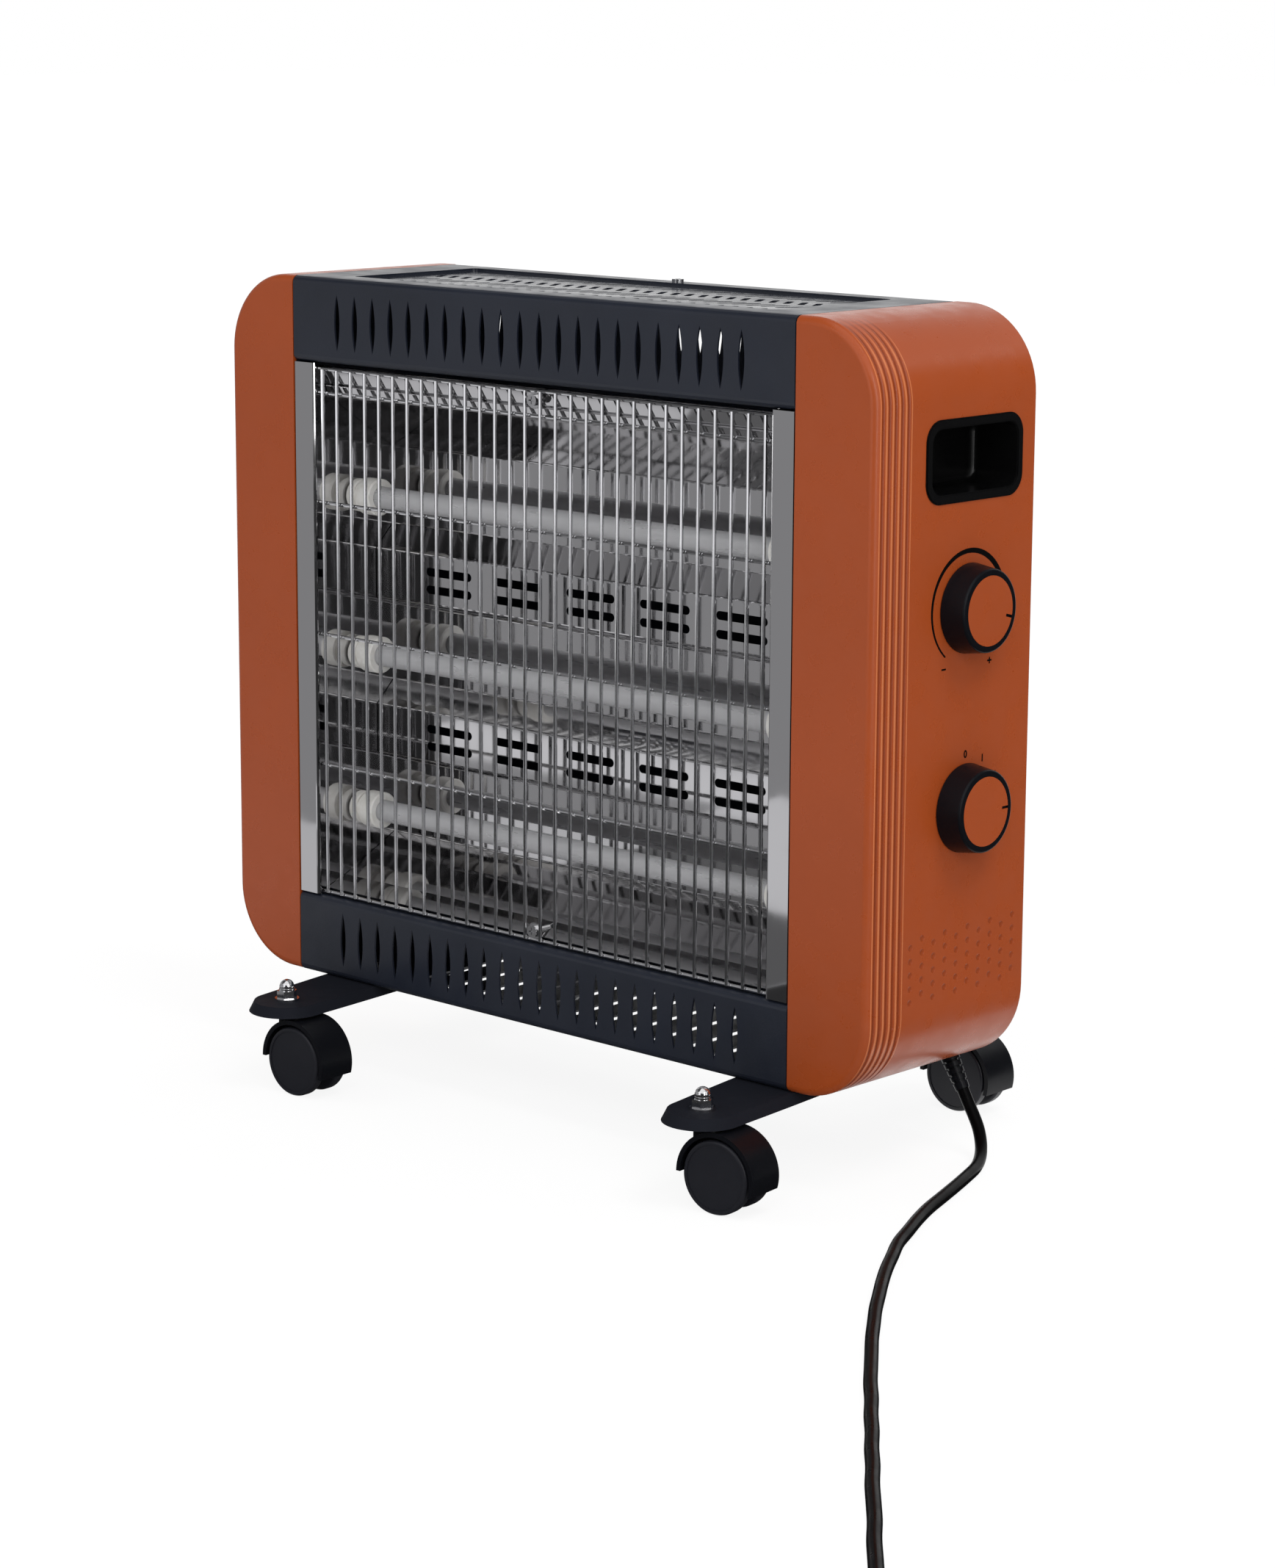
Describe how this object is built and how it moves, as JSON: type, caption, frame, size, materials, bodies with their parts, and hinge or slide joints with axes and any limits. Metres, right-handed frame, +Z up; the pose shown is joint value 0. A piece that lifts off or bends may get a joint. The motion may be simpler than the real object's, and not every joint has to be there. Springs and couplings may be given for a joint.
{
  "type": "electric bar heater",
  "caption": "Upright quartz bar heater with a wire guard, rounded moulded side housings with hand grips, two side knobs and a foot bar with twin-wheel casters under each side.",
  "frame": {"origin": "on the floor, at the middle of the box round the heater without its cord", "axes": "+Z up, +X to the heater's left-hand side as it faces the room, where the knobs are, and +Y to its back; the wire guard faces -Y"},
  "size_m": [1.0192, 0.6889, 0.4752],
  "materials": {
    "case_steel": "satin",
    "housing_plastic": "matte",
    "black_plastic": "matte",
    "reflector_metal": "polished",
    "satin_steel": "satin",
    "chrome": "polished",
    "quartz": "satin",
    "ceramic": "satin",
    "resistance_wire": "matte",
    "wheel_plastic": "satin",
    "cord_rubber": "matte",
    "brass_pins": "polished"
  },
  "bodies": {
    "heater": {"top_cover": "case_steel", "bottom_pan": "case_steel", "back_panel": "case_steel", "top_grille": "case_steel", "side_frame_left": "case_steel", "side_frame_right": "case_steel", "side_housing_left": "housing_plastic", "side_housing_right": "housing_plastic", "handle_cup_left": "black_plastic", "handle_cup_right": "black_plastic", "reflector": "reflector_metal", "reflector_end_left": "satin_steel", "reflector_end_right": "satin_steel", "wire_guard": "chrome", "case_screws": "chrome", "quartz_tube_top": "quartz", "quartz_tube_middle": "quartz", "quartz_tube_bottom": "quartz", "heating_coils": "resistance_wire", "ceramic_holders_left": "ceramic", "ceramic_holders_right": "ceramic", "control_bracket": "satin_steel", "thermostat": "ceramic", "selector_switch": "black_plastic", "terminal_block": "ceramic", "thermal_cutout": "satin_steel", "tip_over_switch": "black_plastic", "foot_bar_left": "case_steel", "foot_bar_right": "case_steel", "foot_screws": "satin_steel", "acorn_nuts": "chrome", "caster_stems": "chrome", "cord_relief": "black_plastic", "mains_cord": "cord_rubber", "cord_coil": "cord_rubber", "plug": "black_plastic", "plug_pins": "brass_pins"},
    "thermostat_dial": {"thermostat_shaft": "satin_steel", "thermostat_knob": "black_plastic", "thermostat_knob_face": "housing_plastic"},
    "selector_dial": {"selector_shaft": "satin_steel", "selector_knob": "black_plastic", "selector_knob_face": "housing_plastic"},
    "caster_front_left": {"caster_hood_front_left": "black_plastic", "caster_axle_front_left": "satin_steel"},
    "wheel_front_left_1": {"wheel_front_left_1": "wheel_plastic"},
    "wheel_front_left_2": {"wheel_front_left_2": "wheel_plastic"},
    "caster_front_right": {"caster_hood_front_right": "black_plastic", "caster_axle_front_right": "satin_steel"},
    "wheel_front_right_1": {"wheel_front_right_1": "wheel_plastic"},
    "wheel_front_right_2": {"wheel_front_right_2": "wheel_plastic"},
    "caster_rear_left": {"caster_hood_rear_left": "black_plastic", "caster_axle_rear_left": "satin_steel"},
    "wheel_rear_left_1": {"wheel_rear_left_1": "wheel_plastic"},
    "wheel_rear_left_2": {"wheel_rear_left_2": "wheel_plastic"},
    "caster_rear_right": {"caster_hood_rear_right": "black_plastic", "caster_axle_rear_right": "satin_steel"},
    "wheel_rear_right_1": {"wheel_rear_right_1": "wheel_plastic"},
    "wheel_rear_right_2": {"wheel_rear_right_2": "wheel_plastic"}
  },
  "joints": [
    {"name": "thermostat_turn", "type": "hinge", "parent": "heater", "child": "thermostat_dial", "pos_m": [0.25, 0.012, 0.316], "axis": [1, 0, 0], "range_deg": [-37, 247]},
    {"name": "selector_turn", "type": "hinge", "parent": "heater", "child": "selector_dial", "pos_m": [0.25, 0.012, 0.207], "axis": [1, 0, 0], "range_deg": [0, 90]},
    {"name": "swivel_front_left", "type": "hinge", "parent": "heater", "child": "caster_front_left", "pos_m": [-0.15324, -0.12299, 0.038], "axis": [0, 0, 1], "continuous": true},
    {"name": "roll_front_left_1", "type": "hinge", "parent": "caster_front_left", "child": "wheel_front_left_1", "pos_m": [-0.13644, -0.13131, 0.0205], "axis": [-0.0349, 0.9994, 0], "continuous": true},
    {"name": "roll_front_left_2", "type": "hinge", "parent": "caster_front_left", "child": "wheel_front_left_2", "pos_m": [-0.13706, -0.11352, 0.0205], "axis": [-0.0349, 0.9994, 0], "continuous": true},
    {"name": "swivel_front_right", "type": "hinge", "parent": "heater", "child": "caster_front_right", "pos_m": [0.17776, -0.12299, 0.038], "axis": [0, 0, 1], "continuous": true},
    {"name": "roll_front_right_1", "type": "hinge", "parent": "caster_front_right", "child": "wheel_front_right_1", "pos_m": [0.19522, -0.12982, 0.0205], "axis": [-0.1219, 0.9925, 0], "continuous": true},
    {"name": "roll_front_right_2", "type": "hinge", "parent": "caster_front_right", "child": "wheel_front_right_2", "pos_m": [0.19305, -0.11215, 0.0205], "axis": [-0.1219, 0.9925, 0], "continuous": true},
    {"name": "swivel_rear_left", "type": "hinge", "parent": "heater", "child": "caster_rear_left", "pos_m": [-0.18476, 0.12299, 0.038], "axis": [0, 0, 1], "continuous": true},
    {"name": "roll_rear_left_1", "type": "hinge", "parent": "caster_rear_left", "child": "wheel_rear_left_1", "pos_m": [-0.16677, 0.11772, 0.0205], "axis": [-0.2079, 0.9781, 0], "continuous": true},
    {"name": "roll_rear_left_2", "type": "hinge", "parent": "caster_rear_left", "child": "wheel_rear_left_2", "pos_m": [-0.17047, 0.13513, 0.0205], "axis": [-0.2079, 0.9781, 0], "continuous": true},
    {"name": "swivel_rear_right", "type": "hinge", "parent": "heater", "child": "caster_rear_right", "pos_m": [0.14624, 0.12299, 0.038], "axis": [0, 0, 1], "continuous": true},
    {"name": "roll_rear_right_1", "type": "hinge", "parent": "caster_rear_right", "child": "wheel_rear_right_1", "pos_m": [0.1629, 0.11438, 0.0205], "axis": [-0.0175, 0.9998, 0], "continuous": true},
    {"name": "roll_rear_right_2", "type": "hinge", "parent": "caster_rear_right", "child": "wheel_rear_right_2", "pos_m": [0.16259, 0.13218, 0.0205], "axis": [-0.0175, 0.9998, 0], "continuous": true}
  ]
}
